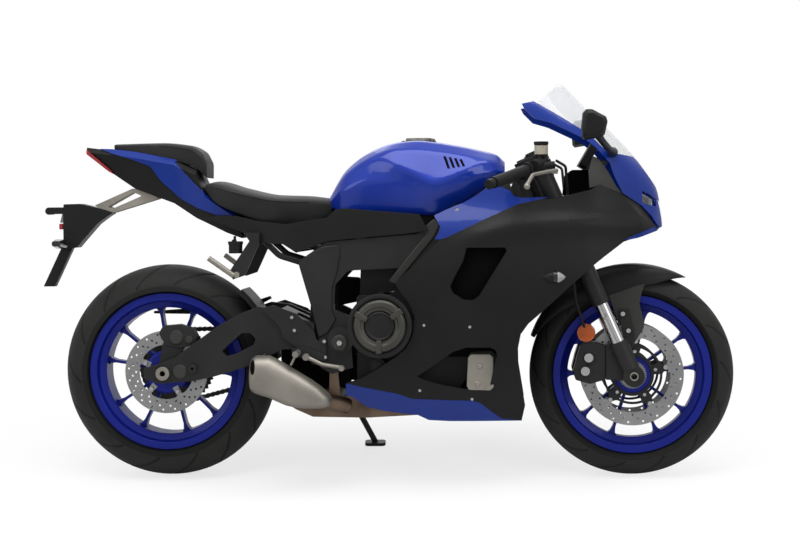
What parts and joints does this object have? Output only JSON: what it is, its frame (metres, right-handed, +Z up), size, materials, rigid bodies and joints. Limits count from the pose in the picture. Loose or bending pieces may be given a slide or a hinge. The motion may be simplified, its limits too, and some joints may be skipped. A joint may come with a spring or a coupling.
{
  "type": "sport motorcycle",
  "caption": "Sport motorcycle with full fairing, low bars and stepped seat, leaning on its side stand; it steers, its wheels turn, its stand folds and its fuel lid opens.",
  "frame": {"origin": "middle of the bounding box at the floor, with the bike leaning on its side stand", "axes": "+X forward, +Y to the rider's left, +Z up; the bike leans 10 degrees to its left"},
  "size_m": [2.053, 0.7348, 1.1406],
  "materials": {
    "bare_alloy": "satin",
    "chain_steel": "oiled",
    "disc_steel": "brushed",
    "engine_grey": "cast",
    "frame_black": "satin",
    "header_steel": "heat tinted",
    "indicator_lens": "gloss",
    "lamp_clear": "clear",
    "lamp_red": "gloss",
    "panel_black": "satin",
    "panel_blue": "gloss",
    "rubber": "matt",
    "screen_clear": "clear",
    "seat_cover": "satin",
    "stanchion": "polished",
    "tank_paint": "gloss",
    "tyre": "matt",
    "wheel_blue": "satin"
  },
  "bodies": {
    "chassis": {"frame_head": "frame_black", "frame_left": "frame_black", "frame_right": "frame_black", "subframe": "frame_black", "engine_block": "engine_grey", "engine_covers": "engine_grey", "radiator": "frame_black", "exhaust_pipes": "header_steel", "silencer": "bare_alloy", "swingarm": "frame_black", "swingarm_ends": "frame_black", "rear_shock": "frame_black", "rear_axle": "bare_alloy", "rear_caliper": "frame_black", "rear_guards": "panel_black", "fuel_tank": "tank_paint", "rider_seat": "seat_cover", "pillion_seat": "seat_cover", "tail_core": "panel_black", "tail_panels": "panel_blue", "tail_light": "lamp_red", "fairing_right": "panel_black", "fairing_left": "panel_black", "knee_panels": "panel_blue", "belly_pans": "panel_blue", "nose_cowl": "panel_blue", "headlights": "lamp_clear", "windscreen": "screen_clear", "cockpit_stay": "frame_black", "instrument_panel": "panel_black", "mirrors": "panel_black", "side_covers": "panel_black", "plate_struts": "bare_alloy", "plate_holder": "panel_black", "indicators": "indicator_lens", "rear_reservoir": "panel_black", "footrest_brackets": "frame_black", "footrests": "bare_alloy", "drive_chain": "chain_steel"},
    "steering": {"yokes": "frame_black", "lower_yoke": "frame_black", "fork_tubes": "frame_black", "fork_stanchions": "stanchion", "fork_feet": "frame_black", "front_axle": "bare_alloy", "front_calipers": "frame_black", "front_fender": "panel_black", "handlebars": "rubber", "hand_levers": "bare_alloy", "brake_reservoir": "panel_black", "brake_hoses": "rubber"},
    "front_wheel": {"front_rim": "wheel_blue", "front_tyre": "tyre", "front_discs": "disc_steel"},
    "rear_wheel": {"rear_rim": "wheel_blue", "rear_tyre": "tyre", "rear_disc": "disc_steel", "rear_sprocket": "chain_steel"},
    "side_stand": {"side_stand": "frame_black"},
    "fuel_cap": {"fuel_cap": "bare_alloy"}
  },
  "joints": [
    {"name": "steering_head", "type": "hinge", "parent": "chassis", "child": "steering", "pos_m": [0.6917, -0.10983, 0.28133], "axis": [-0.4015, 0.159, 0.902], "range_deg": [-27, 27]},
    {"name": "front_wheel_spin", "type": "hinge", "parent": "steering", "child": "front_wheel", "pos_m": [0.7265, -0.10719, 0.29635], "axis": [0, 0.9848, -0.1736], "continuous": true},
    {"name": "rear_wheel_spin", "type": "hinge", "parent": "chassis", "child": "rear_wheel", "pos_m": [-0.6435, -0.1045, 0.31158], "axis": [0, 0.9848, -0.1736], "continuous": true},
    {"name": "side_stand_swing", "type": "hinge", "parent": "chassis", "child": "side_stand", "pos_m": [-0.1335, 0.04201, 0.20959], "axis": [0, 0.9659, 0.2588], "range_deg": [0, 105]},
    {"name": "fuel_cap_hinge", "type": "hinge", "parent": "chassis", "child": "fuel_cap", "pos_m": [0.1495, 0.01341, 0.98027], "axis": [0, 0.9848, -0.1736], "range_deg": [0, 95]}
  ]
}
